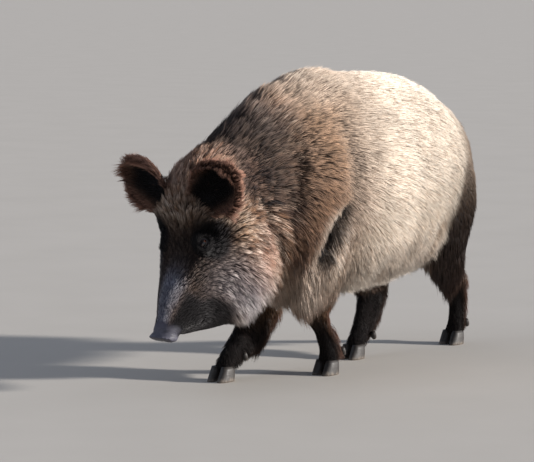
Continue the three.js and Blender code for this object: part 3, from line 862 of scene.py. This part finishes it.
UP_HEAD = tuple(-LENGTHWISE)
LIE = {  # for each part, places on its left side and the way the hair lies there
    "head": [
        (of_head(0.44, 0.03), UP_HEAD), (of_head(0.20, 0.03), UP_HEAD), (of_head(0.03, 0.03), (0, 0.5, 0.9)),
        (of_head(0.40, -0.03, 0.06), (0.1, 0.55, 0.8)), (of_head(0.30, 0.0, 0.10), (0.2, 0.75, 0.55)),
        (of_head(0.12, 0.0, 0.09), (0.25, 0.35, 0.9)), (of_head(0.05, -0.05, 0.11), (0.3, 0.7, 0.6)),
        (of_head(0.20, -0.10, 0.16), (0.2, 0.95, -0.05)), (of_head(0.13, -0.16, 0.15), (0.2, 1.0, 0.12)),
        (of_head(0.28, -0.10, 0.14), (0.2, 0.85, -0.45)), (of_head(0.34, -0.10, 0.11), (0.1, 0.75, -0.6)),
        (of_head(0.24, -0.25, 0.13), (0.1, 0.75, -0.62)), (of_head(0.32, -0.22, 0.10), (0.0, 0.45, -0.88)),
        (of_head(0.38, -0.12, 0.03), (0.0, 0.5, -0.85)), (of_head(0.30, -0.30, 0.0), (0.0, 0.6, -0.8)),
    ],
    "neck": [
        ((0, -0.50, 0.63), (0, 0.75, 0.66)), ((0, -0.34, 0.73), (0, 0.80, 0.60)),
        ((0.12, -0.42, 0.60), (0.1, 0.90, 0.40)), ((0.16, -0.38, 0.50), (0.1, 1.0, 0.02)),
        ((0.16, -0.34, 0.42), (0.05, 0.85, -0.50)), ((0.10, -0.36, 0.33), (0, 0.55, -0.83)),
        ((0, -0.38, 0.31), (0, 0.5, -0.85)),
    ],
    "trunk": [
        ((0, -0.18, 0.80), (0, 0.92, 0.38)), ((0, -0.07, 0.83), (0, 1, 0.0)), ((0, 0.20, 0.82), (0, 1, -0.03)),
        ((0, 0.45, 0.76), (0, 0.9, -0.42)), ((0, 0.62, 0.62), (0, 0.5, -0.86)),
        ((0.13, -0.20, 0.70), (0.05, 0.93, 0.30)), ((0.18, -0.12, 0.60), (0, 1.0, -0.05)),
        ((0.20, -0.15, 0.45), (0, 0.85, -0.50)), ((0.18, 0.05, 0.70), (0, 1.0, -0.22)),
        ((0.21, 0.10, 0.55), (0, 1.0, -0.22)), ((0.20, 0.12, 0.38), (0, 0.80, -0.60)),
        ((0.14, 0.12, 0.28), (0, 0.75, -0.65)), ((0.20, 0.38, 0.62), (0, 0.9, -0.45)),
        ((0.15, 0.55, 0.55), (0, 0.5, -0.86)), ((0, 0.12, 0.25), (0, 1, -0.05)), ((0, -0.20, 0.27), (0, 0.8, -0.6)),
        ((0.12, -0.28, 0.35), (0, 0.4, -0.9)),
    ],
    "fore": [
        ((0.19, -0.20, 0.60), (0, 0.97, -0.22)), ((0.20, -0.24, 0.46), (0, 0.72, -0.70)),
        ((0.18, -0.20, 0.34), (0, 0.45, -0.89)), ((0.12, -0.16, 0.26), (0, 0.35, -0.94)),
    ],
    "hind": [
        ((0.19, 0.42, 0.56), (0, 0.62, -0.78)), ((0.17, 0.44, 0.42), (0, 0.40, -0.92)),
        ((0.12, 0.46, 0.30), (0, 0.15, -0.99)),
    ],
    "shank": [((0.08, 0.0, 0.15), (0, 0.22, -0.97))],
    "tail": [((0, 0.65, 0.60), (0, 0.1, -1.0))],
    "ear": [((0.14, -0.58, 0.58), tuple(EAR_AXIS))],
}
LIE_OF = {"head": "head", "lower_jaw": "head", "snout_disc": "head", "neck": "neck", "trunk": "trunk"}
LIE_OF.update({"tail": "tail", "ear_left": "ear", "ear_right": "ear"})
LIE_OF.update({leg: "shank" for leg in LOWER_LEGS})
LIE_OF.update({leg: leg[:4] for leg in UPPER_LEGS})


def tangent(vectors, normals):
    """The part of each vector that lies in the surface, one metre long."""
    return unit(vectors - normals * np.sum(vectors * normals, axis=1, keepdims=True))


LIE_EVENED = 160  # rounds of evening of the coat's lie over the body


def lie_of_coat():
    """The way the hair lies at each vertex of the skin."""
    flow = np.zeros_like(skin_points)
    for group, guides in LIE.items():
        share = part_share(*[name for name in FLESH if LIE_OF[name] == group])
        pull = np.zeros_like(skin_points)
        for spot, way in guides:
            weight = 1.0 / (np.sum((level_points - np.array(spot)) ** 2, axis=1) + 0.03**2) ** 1.6
            pull += weight[:, None] * unit(way)
        flow += share[:, None] * unit(pull)
    flow[:, 0] *= np.where(skin_points[:, 0] < 0, -1.0, 1.0)
    body = np.clip(1.0 - on_head - on_ears - on_lower_legs, 0, 1)[:, None]
    flow = flow * (1 - body) + spread(tangent(flow, skin_normals), skin_edges, LIE_EVENED) * body
    flow = tangent(flow * (1 - on_ears)[:, None] + ear_way, skin_normals)
    for _ in range(4):
        flow = tangent(spread(flow, skin_edges, 3), skin_normals)
    return flow


skin_lie = lie_of_coat()

# ---------------------------------------------------------------- the coat

# For each part: a hair's length and width in metres, the degrees that it rises from the skin, and roots per m2.
HAIR = {
    "trunk": (0.063, 0.0021, 13.0, 84e3), "neck": (0.068, 0.0022, 18.0, 84e3), "head": (0.019, 0.0015, 23.0, 190e3),
    "lower_jaw": (0.016, 0.0014, 18.0, 190e3), "snout_disc": (0.006, 0.0012, 12.0, 0.0),
    "tail": (0.046, 0.0020, 15.0, 130e3),
}
HAIR.update({name: (0.016, 0.0014, 26.0, 170e3) for name in EARS})
HAIR.update({name: (0.048, 0.0022, 17.0, 86e3) for name in UPPER_LEGS})
HAIR.update({name: (0.023, 0.0017, 16.0, 140e3) for name in LOWER_LEGS})


def coat_fields():
    """Length, width, rise, sag, number and roughness of the hairs over the skin."""
    along, out = head_place(skin_points)
    z = skin_points[:, 2]
    long_cheek = on_head * ruff(skin_points)
    muzzle = on_head * smoothstep(0.27, 0.36, along) * (1 - ruff(skin_points))
    forehead = on_head * (1 - smoothstep(0.150, 0.185, along)) * smoothstep(-0.14, -0.05, out)
    mane = topline(skin_points, skin_normals)
    under = (1 - on_head) * (1 - on_lower_legs) * smoothstep(0.1, 0.8, -skin_normals[:, 2])
    heel = on_lower_legs * smoothstep(-0.1, 0.8, skin_normals[:, 1]) * smoothstep(0.05, 0.10, z)
    heel *= 1 + 0.5 * (skin_points[:, 1] < 0)
    fore_arm = on_upper_legs * (1 - smoothstep(0.28, 0.40, z))
    hoof_top = on_lower_legs * (1 - smoothstep(0.03, 0.07, z))
    long, wide, rise, roots = (
        by_part(wide_shares, {name: row[k] for name, row in HAIR.items()}, 0) for k in range(4)
    )
    long += 0.040 * long_cheek - 0.005 * muzzle + 0.022 * forehead + 0.012 * mane + 0.022 * under + 0.026 * heel
    long += 0.013 * ear_rim + 0.006 * ear_cup - 0.010 * hoof_top + 0.012 * fore_arm
    wide += 0.0001 * long_cheek - 0.0002 * muzzle + 0.0002 * forehead + 0.0002 * heel
    rise += 2.0 * long_cheek - 5.0 * muzzle + 14.0 * forehead + 4.0 * mane + 12.0 * heel
    rise += 6.0 * fore_arm - 14.0 * ear_rim
    roots += -72e3 * long_cheek - 50e3 * forehead + 60e3 * muzzle + 60e3 * ear_rim
    sag = 0.04 + 0.28 * long_cheek + 0.30 * under + 0.15 * heel
    edge = by_fold(0.050, 0.035) * (1 - on_lower_legs)
    long -= 0.018 * edge
    rise += 12.0 * edge
    long *= 1 - 0.6 * smoothstep(0.05, 0.6, by_fold(0.034, 0.0))
    for side in SIDES.values():
        round_eye = near(skin_points, mirrored(EYE_AT, side), 0.045)
        long *= 1 - 0.78 * round_eye
        wide *= 1 - 0.35 * round_eye
        roots *= 1 + 0.5 * round_eye
    roots *= (1 - smoothstep(0.15, 0.6, skin_bare)) * (1 - smoothstep(0.45, 0.8, skin_shaded_hollows)) * (z > 0.026)
    y = level_points[:, 1]
    smooth_flank = (1 - on_head) * (1 - on_lower_legs) * smoothstep(-0.25, 0.0, y) * smoothstep(0.30, 0.42, z)
    rough = np.clip(1.0 - 0.85 * smooth_flank - 0.6 * muzzle - 0.5 * on_lower_legs, 0.1, 1.0)
    return long, wide, np.radians(rise), sag, roots, rough


hair_long, hair_wide, hair_rise, hair_sag, hair_roots, hair_rough = coat_fields()


def scattered_roots():
    """Even, seeded places for all hairs: the corners of each hair's own triangle and its shares of them."""
    skin_mesh.calc_loop_triangles()
    corners = np.zeros(len(skin_mesh.loop_triangles) * 3, np.int32)
    skin_mesh.loop_triangles.foreach_get("vertices", corners)
    corners = corners.reshape(-1, 3)
    a, b, c = (skin_points[corners[:, k]] for k in range(3))
    area = 0.5 * np.linalg.norm(np.cross(b - a, c - a), axis=1)
    centre = (a + b + c) / 3.0
    order = np.lexsort((centre[:, 0], np.round(centre[:, 1] / 0.012), np.round(centre[:, 2] / 0.012)))
    corners, area = corners[order], area[order]
    heap = np.cumsum(area * hair_roots[corners].mean(1))
    count = int(heap[-1])
    at = (np.arange(count) + chance.random(count)) * heap[-1] / count
    chosen = corners[np.minimum(np.searchsorted(heap, at), len(corners) - 1)]
    first, second = np.sqrt(chance.random(count)), chance.random(count)
    weights = np.stack([1 - first, first * (1 - second), first * second], 1)
    return chosen, weights


root_corners, root_weights = scattered_roots()


def at_roots(values):
    """A field of the skin at every hair's root."""
    picked = values[root_corners]
    weights = root_weights if picked.ndim == 2 else root_weights[:, :, None]
    return np.sum(picked * weights, axis=1)


root = at_roots(skin_points)
root_normal = unit(at_roots(skin_normals))
root_lie = tangent(at_roots(skin_lie), root_normal)
root_side = np.cross(root_normal, root_lie)
root_shares = at_roots(skin_shares)
COUNT = len(root)


BEND_FROM = 0.026  # shorter hairs stay straight
STRAYS, STRAY_RISE = 0.025, 0.14  # the share of hairs that stand out, and how far
LEADERS = 0.07  # the share of hairs that gather others into locks


def grown_hairs():
    """Where each hair's middle and tip are, its width, shade and streak, and whether it is a bent one."""
    long, rough = at_roots(hair_long), at_roots(hair_rough)
    bent = (long > BEND_FROM) & (chance.random(COUNT) < 0.22 + 0.40 * rough)
    long = long * (1 + 0.34 * (chance.random(COUNT) - 0.5) + 0.14 * noise(root, 0.05, 3))
    wide = at_roots(hair_wide) * (1 + 0.4 * (chance.random(COUNT) - 0.5))
    rise = at_roots(hair_rise) * (1 + 0.50 * (chance.random(COUNT) - 0.5) + 0.30 * rough * noise(root, 0.03, 4))
    stray = chance.random(COUNT) < STRAYS
    rise = rise + np.where(stray, STRAY_RISE, 0.0)
    sag = at_roots(hair_sag)
    sway = 0.18 * noise(root, 0.060, 5) + 0.12 * rough * noise(root, 0.020, 6)
    sway = sway + (0.14 + 0.14 * rough) * (chance.random(COUNT) - 0.5)
    way = unit(root_lie + root_side * sway[:, None])

    def reach(share):
        """Where each hair is at that share of its length."""
        forward = np.cos(rise) * share
        lift = np.sin(rise) * (share - 0.42 * share**2)
        drop = np.array([0.0, 0.0, -1.0]) * (sag * share**2)[:, None]
        return root + long[:, None] * (way * forward[:, None] + root_normal * lift[:, None] + drop)

    middle, tip = reach(0.5), reach(1.0)
    leaders = np.flatnonzero(chance.random(COUNT) < LEADERS)
    tree = KDTree(len(leaders))
    for number, index in enumerate(leaders):
        tree.insert(root[index], number)
    tree.balance()
    nearest = np.empty(COUNT, int)
    gap = np.empty(COUNT)
    for index in range(COUNT):
        _, number, gap[index] = tree.find(root[index])
        nearest[index] = leaders[number]
    hold = (0.20 + 0.42 * rough) * np.exp(-((gap / (0.30 * long + 0.003)) ** 2))
    hold = hold * (0.5 + 1.0 * chance.random(COUNT)[nearest])
    hold = hold * (np.sum(way * way[nearest], axis=1) > 0.6) * ~stray
    gathered = tip[nearest] + (root - root[nearest]) * 0.2
    pull = (gathered - tip) * np.clip(hold, 0, 0.8)[:, None]
    tip = tip + pull
    middle = middle + 0.3 * pull
    shade = 0.35 * chance.random(COUNT)[nearest] + 0.45 * chance.random(COUNT) + 0.2 * (0.5 + noise(root, 0.05, 7))
    shade = 0.5 + (shade - 0.5) * (0.55 + 0.65 * rough)
    streak = 0.6 * chance.random(COUNT)[nearest] + 0.4 * chance.random(COUNT)
    return middle, tip, wide, np.clip(shade, 0, 1), streak, bent


root_middle, root_tip, root_wide, root_shade, root_streak, root_bent = grown_hairs()

BENT_FACES = [(0, 1, 4, 3), (1, 2, 5, 4), (2, 0, 3, 5), (3, 4, 6), (4, 5, 6), (5, 3, 6), (2, 1, 0)]
STRAIGHT_FACES = [(0, 1, 3), (1, 2, 3), (2, 0, 3), (2, 1, 0)]
BENT_TRIANGLES, STRAIGHT_TRIANGLES = 10, 4
PIECE_LIMIT = 190e3  # triangles in one piece of the coat
PATCH = 0.003  # how large each tuft's patch is on the unwrap
THICKNESS = 0.5  # a tuft's thickness as a share of its width
BURIED = 0.0015  # how deep a tuft starts under the skin


def tuft_rings(chosen, bent):
    """The corners of each chosen tuft, and each corner's place along and across it."""
    start = root[chosen] - root_normal[chosen] * BURIED
    run = unit(root_tip[chosen] - start)
    side = unit(np.cross(root_normal[chosen], run))
    above = np.cross(run, side)
    wide = root_wide[chosen][:, None]
    points, along = [], []
    for centre, size, share in ((start, 0.9, 0.0), (root_middle[chosen], 0.85, 0.5))[: 2 if bent else 1]:
        points += [centre - side * wide * size * 0.5, centre + side * wide * size * 0.5]
        points += [centre + above * wide * size * THICKNESS]
        along += [share] * 3
    across = [-0.5, 0.5, 0.0] * (len(along) // 3) + [0.0]
    return np.stack(points + [root_tip[chosen]], 1), np.array(along + [1.0]), np.array(across)


def tufts(name, chosen, unwrap, material, slot):
    """One piece of the coat from the chosen hairs, joined into a mesh."""
    points, loops, sizes, places, values = [], [], [], [], {key: [] for key in ("along", "shade", *MARKS)}
    begin = 0
    for bent, faces in ((True, BENT_FACES), (False, STRAIGHT_FACES)):
        own = np.flatnonzero(root_bent[chosen] == bent)
        if not len(own):
            continue
        hairs = chosen[own]
        corners, along, across = tuft_rings(hairs, bent)
        count = len(along)
        face_loops = np.array([corner for face in faces for corner in face])
        first = begin + (np.arange(len(hairs)) * count)[:, None]
        loops.append((face_loops[None, :] + first).ravel())
        sizes.append(np.tile([len(face) for face in faces], len(hairs)))
        points.append(corners.reshape(-1, 3))
        patch = np.stack([across, along - 0.5], 1) * PATCH
        places.append((unwrap[own][:, None, :] + patch[None]).reshape(-1, 2))
        values["along"].append(np.tile(along, len(hairs)))
        values["shade"].append(np.repeat(root_shade[hairs], count))
        for mark in MARKS:
            values[mark].append(np.repeat(root_marks[mark][hairs], count))
        begin += len(hairs) * count
    loops, sizes = np.concatenate(loops).astype(np.int32), np.concatenate(sizes)
    mesh = bpy.data.meshes.new(name)
    mesh.vertices.add(begin)
    mesh.vertices.foreach_set("co", np.concatenate(points).astype(np.float32).ravel())
    mesh.loops.add(len(loops))
    mesh.loops.foreach_set("vertex_index", loops)
    mesh.polygons.add(len(sizes))
    mesh.polygons.foreach_set("loop_start", (np.cumsum(sizes) - sizes).astype(np.int32))
    mesh.update(calc_edges=True)
    layer = mesh.uv_layers.new(name="OFBake")
    layer.uv.foreach_set("vector", np.concatenate(places)[loops].astype(np.float32).ravel())
    for key, parts in values.items():
        keep_value(mesh, key, np.concatenate(parts))
    return shown(name, mesh, material, slot)


# Long rough hair is streaked pale and dark, except where the coat is dark all over.
root_marks = {name: np.clip(at_roots(values), 0, 1) for name, values in marks.items()}
streaked = at_roots(np.clip(on_head * ruff(skin_points) + 0.4 * part_share("neck", "head"), 0, 1) * hair_rough)
streaked = streaked * (1.0 - smoothstep(0.74, 0.92, root_marks["dark"]))
# Painted shade: hair in the cups of the ears is darkened.
root_shade *= 1.0 - 0.9 * at_roots(ear_cup)
# Painted shade: the darkest hair of the head, on the muzzle and round the eyes, is darkened further.
root_shade *= 1.0 - 0.8 * smoothstep(0.9, 1.0, root_marks["dark"]) * at_roots(on_head)
root_marks["pale"] = np.clip(root_marks["pale"] + streaked * 1.3 * (root_streak - 0.5), 0, 1)
root_marks["dark"] = np.clip(root_marks["dark"] + streaked * (0.45 - root_streak), 0, 1)


def fitted(values, low=0.03, high=0.97):
    """Values stretched to run over the unwrap."""
    least, most = values.min(), values.max()
    return low + (high - low) * (values - least) / max(most - least, 1e-6)


def round_axis(across, onwards, centre):
    """An unwrap round an axis: the angle round it and the distance along it."""

    def unwrap(points):
        away = points - centre
        angle = np.arctan2(away @ across[0], away @ across[1])
        return np.stack([fitted(angle), fitted(away @ onwards)], 1)

    return unwrap


def along_ear(side):
    """An unwrap of an ear: the distance across it and the share of the way along it."""

    def unwrap(points):
        share, over, _ = ear_places(points, side)
        return np.stack([fitted(over), fitted(share)], 1)

    return unwrap


BODY_MIDDLE, TAIL_MIDDLE = np.array([0, 0, 0.53]), np.array([0, 0.66, 0])


def coat_pieces(material):
    """Sorts the hairs into pieces by the part and the side they grow on."""
    label = np.argmax(root_shares, axis=1)
    across, onwards, up = np.eye(3)

    def grown_on(*names):
        return np.isin(label, [NUMBER[name] for name in names])

    def piece(name, chosen, unwrap, slot="coat"):
        chosen = np.flatnonzero(chosen)
        triangles = int(np.where(root_bent[chosen], BENT_TRIANGLES, STRAIGHT_TRIANGLES).sum())
        count = max(1, math.ceil(triangles / PIECE_LIMIT))
        cuts = np.array_split(chosen[np.argsort(root[chosen, 1], kind="stable")], count)
        for number, cut in enumerate(cuts):
            title = name if count == 1 else f"{name}_{number + 1}"
            tufts(title, cut, unwrap(root[cut]), material, slot)

    round_body = round_axis((across, up), onwards, BODY_MIDDLE)
    round_head = round_axis((across, OUTWARD), LENGTHWISE, of_head(0.2, -0.12))
    for side_name, side in SIDES.items():
        here = root[:, 0] * side >= 0
        piece(f"coat_trunk_{side_name}", here & grown_on("trunk"), round_body)
        piece(f"coat_neck_{side_name}", here & grown_on("neck"), round_body)
        piece(f"coat_head_{side_name}", here & grown_on("head", "lower_jaw", "snout_disc"), round_head)
        ear = f"ear_{side_name}"
        facing = root_normal @ mirrored(EAR_FACING, side) > 0
        piece(f"coat_{ear}_inside", grown_on(ear) & facing, along_ear(side), "dark_coat")
        piece(f"coat_{ear}_outside", grown_on(ear) & ~facing, along_ear(side), "dark_coat")
        for leg in ("foreleg", "hindleg"):
            for part, slot in (("upper", "coat"), ("lower", "dark_coat")):
                node = f"{leg}_{side_name}_{part}"
                chosen = grown_on(node)
                middle = np.append(root[chosen][:, :2].mean(0), 0.0)
                piece(f"coat_{node}", chosen, round_axis((across, onwards), up, middle), slot)
    piece("coat_tail", grown_on("tail"), round_axis((across, onwards), up, TAIL_MIDDLE), "dark_coat")


# ---------------------------------------------------------------- eyes and hooves


def ring_mesh(name, rings):
    """A closed body through rings of points, with a fan at both ends."""
    count = len(rings[0])
    work = bmesh.new()
    rows = [[work.verts.new(point) for point in ring] for ring in rings]
    for one, two in zip(rows, rows[1:]):
        for k in range(count):
            work.faces.new((one[k], one[(k + 1) % count], two[(k + 1) % count], two[k]))
    for row, turn in ((rows[0], -1), (rows[-1], 1)):
        tip = work.verts.new(np.mean([vertex.co for vertex in row], axis=0))
        for k in range(count):
            work.faces.new((row[k], row[(k + 1) % count], tip)[::turn])
    bmesh.ops.recalc_face_normals(work, faces=work.faces)
    mesh = bpy.data.meshes.new(name)
    work.to_mesh(mesh)
    work.free()
    smooth(mesh)
    return mesh


def even_turns(count):
    """The cosine and the sine of even steps round a circle."""
    return [(math.cos(2 * math.pi * k / count), math.sin(2 * math.pi * k / count)) for k in range(count)]


def box_of(node):
    """A solid's lowest corner, its middle and half its size."""
    low, high = (np.array(corner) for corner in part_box(node))
    return low, (low + high) / 2, (high - low) / 2


EYE_STEPS, EYE_SPOKES, HOOF_SPOKES, CLAW_STEPS, CLAW_SPOKES = 24, 36, 40, 8, 20


def eyeball(side_name, side, material):
    """A ball with a clear bulge over the iris, looking out between the lids."""
    centre, looks, long, over = lid_frame(side)
    rings, off = [], []
    for step in range(1, EYE_STEPS):
        angle = math.pi * step / EYE_STEPS
        bulge = 1.0 + 0.05 * math.exp(-((angle / 0.5) ** 2))
        ring = []
        for cosine, sine in even_turns(EYE_SPOKES):
            outwards = long * cosine + over * sine
            ring.append(centre + EYE_RADIUS * bulge * (looks * math.cos(angle) + outwards * math.sin(angle)))
            off.append(angle / (math.pi / 2))
        rings.append(ring)
    mesh = ring_mesh(f"eyeball_{side_name}", rings)
    keep_value(mesh, "off_axis", np.array(off + [0.0, 2.0]))
    return shown(f"eyeball_{side_name}", mesh, material, "eye", [f"eye_{side_name}"])


# A hoof's rings: how high, how far in at the toe, how far in at the heel, and how wide.
HOOF_RINGS = ((0.000, 0.000, 0.004, 1.00), (0.004, 0.001, 0.0035, 1.02), (0.012, 0.005, 0.002, 0.99),
              (0.022, 0.011, 0.001, 0.94), (0.031, 0.016, 0.001, 0.88), (0.040, 0.020, 0.006, 0.72))


def hoof(leg, claw, material):
    """One toe of a cloven hoof: a flat sole, a sloping front and a bulb at the heel."""
    node = f"hoof_{leg}_{claw}"
    low, middle, half = box_of(node)
    rings, height = [], []
    for level, slope, tuck, wide in HOOF_RINGS:
        ring = []
        for across, onwards in even_turns(HOOF_SPOKES):
            across = math.copysign(abs(across) ** 0.75, across) * half[0] * wide
            blunt = abs(onwards) ** 0.8
            y = -blunt * (half[1] - slope) if onwards > 0 else blunt * (half[1] - tuck)
            narrow = 1.0 - 0.22 * max(onwards, 0.0) ** 2
            ring.append((middle[0] + across * narrow, middle[1] + y, low[2] + level))
            height.append(1.0 - level / 0.04)
        rings.append(ring)
    mesh = ring_mesh(f"toe_{leg}_{claw}", rings)
    keep_value(mesh, "tip", np.array(height + [1.0, 0.0]))
    return shown(f"toe_{leg}_{claw}", mesh, material, "horn", [node])


def dewclaw(leg, claw, material):
    """A small blunt claw that hangs behind the foot."""
    node = f"dewclaw_{leg}_{claw}"
    _, middle, half = box_of(node)
    axis = unit([0.0, -0.5, 0.86])
    across = np.cross(axis, [1.0, 0.0, 0.0])
    rings, height = [], []
    for step in range(CLAW_STEPS + 1):
        share = step / CLAW_STEPS
        radius = half[0] * (0.30 + 0.70 * math.sin(math.pi * (0.12 + 0.55 * share)) ** 0.8)
        centre = middle + axis * (share - 0.45) * half[2] * 1.5
        ring = []
        for cosine, sine in even_turns(CLAW_SPOKES):
            ring.append(centre + radius * (np.array([cosine, 0, 0]) + 0.9 * across * sine))
            height.append(1.0 - share)
        rings.append(ring)
    mesh = ring_mesh(f"claw_{leg}_{claw}", rings)
    keep_value(mesh, "tip", np.array(height + [1.0, 0.0]))
    return shown(f"claw_{leg}_{claw}", mesh, material, "horn", [node])


# ---------------------------------------------------------------- putting it together

skin_material = hide_material()
for name, values in marks.items():
    keep_value(skin_mesh, name, np.clip(values, 0, 1))
# The skin in the cups of the ears is painted in shade.
keep_value(skin_mesh, "shade", (0.45 + 0.3 * noise(skin_points, 0.03, 7)) * (1.0 - ear_cup))
keep_value(skin_mesh, "bare", skin_bare)
keep_value(skin_mesh, "deep", skin_shaded_hollows)
smooth(skin_mesh)
shown("skin", skin_mesh, skin_material, "coat", FLESH)
coat_pieces(bristle_material())

wet_eye, horn = eye_material(), horn_material()
for side_name, side in SIDES.items():
    eyeball(side_name, side, wet_eye)
for leg in LEGS:
    for claw in ("outer", "inner"):
        hoof(leg, claw, horn)
        dewclaw(leg, claw, horn)

# ---------------------------------------------------------------- floor, light and camera


FLOOR_REACH = 120.0


def floor():
    """A plain pale floor."""
    mesh = bpy.data.meshes.new("Floor")
    corners = [(x * FLOOR_REACH, y * FLOOR_REACH, 0) for x, y in ((-1, -1), (1, -1), (1, 1), (-1, 1))]
    mesh.from_pydata(corners, [], [(0, 1, 2, 3)])
    made = bpy.data.objects.new("Floor", mesh)
    scene.collection.objects.link(made)
    material, wire, shader = new_material("Floor", 0.8, 0.2)
    pale = wire.blend(wire.specks(3.0, 3.0), linear(170, 165, 158), linear(178, 173, 166))
    wire.join(pale, shader.inputs["Base Color"])
    mesh.materials.append(material)


def lamp(name, towards, softness, strength, colour):
    """A lamp from far away, which shines from a direction. Softness is its width in degrees."""
    light = bpy.data.lights.new(name, "SUN")
    light.angle = math.radians(softness)
    light.energy = strength
    light.color = colour
    made = bpy.data.objects.new(name, light)
    made.rotation_euler = Vector(towards).to_track_quat("Z", "Y").to_euler()
    scene.collection.objects.link(made)


floor()
lamp("Key", (0.77, 0.52, 0.26), 4.0, 7.7, (1.0, 0.960, 0.915))
lamp("Fill", (-0.3, -0.8, 0.5), 40.0, 0.5, (0.88, 0.93, 1.0))
world = bpy.data.worlds.new("Studio")
world.use_nodes = True
sky = world.node_tree.nodes["Background"].inputs
sky["Color"].default_value = linear(198, 209, 230)
sky["Strength"].default_value = 0.54
scene.world = world
scene.view_settings.view_transform = "Standard"

VIEW_TURN, VIEW_DOWN = math.radians(38.5), math.radians(6.0)
camera = bpy.data.objects.new("Camera", bpy.data.cameras.new("Camera"))
camera.data.lens = 169.9
camera.data.sensor_width = 36.0
camera.location = (4.1948, -5.5053, 1.11)
camera.rotation_euler = (math.pi / 2 - VIEW_DOWN, 0.0, VIEW_TURN)
scene.collection.objects.link(camera)
scene.camera = camera
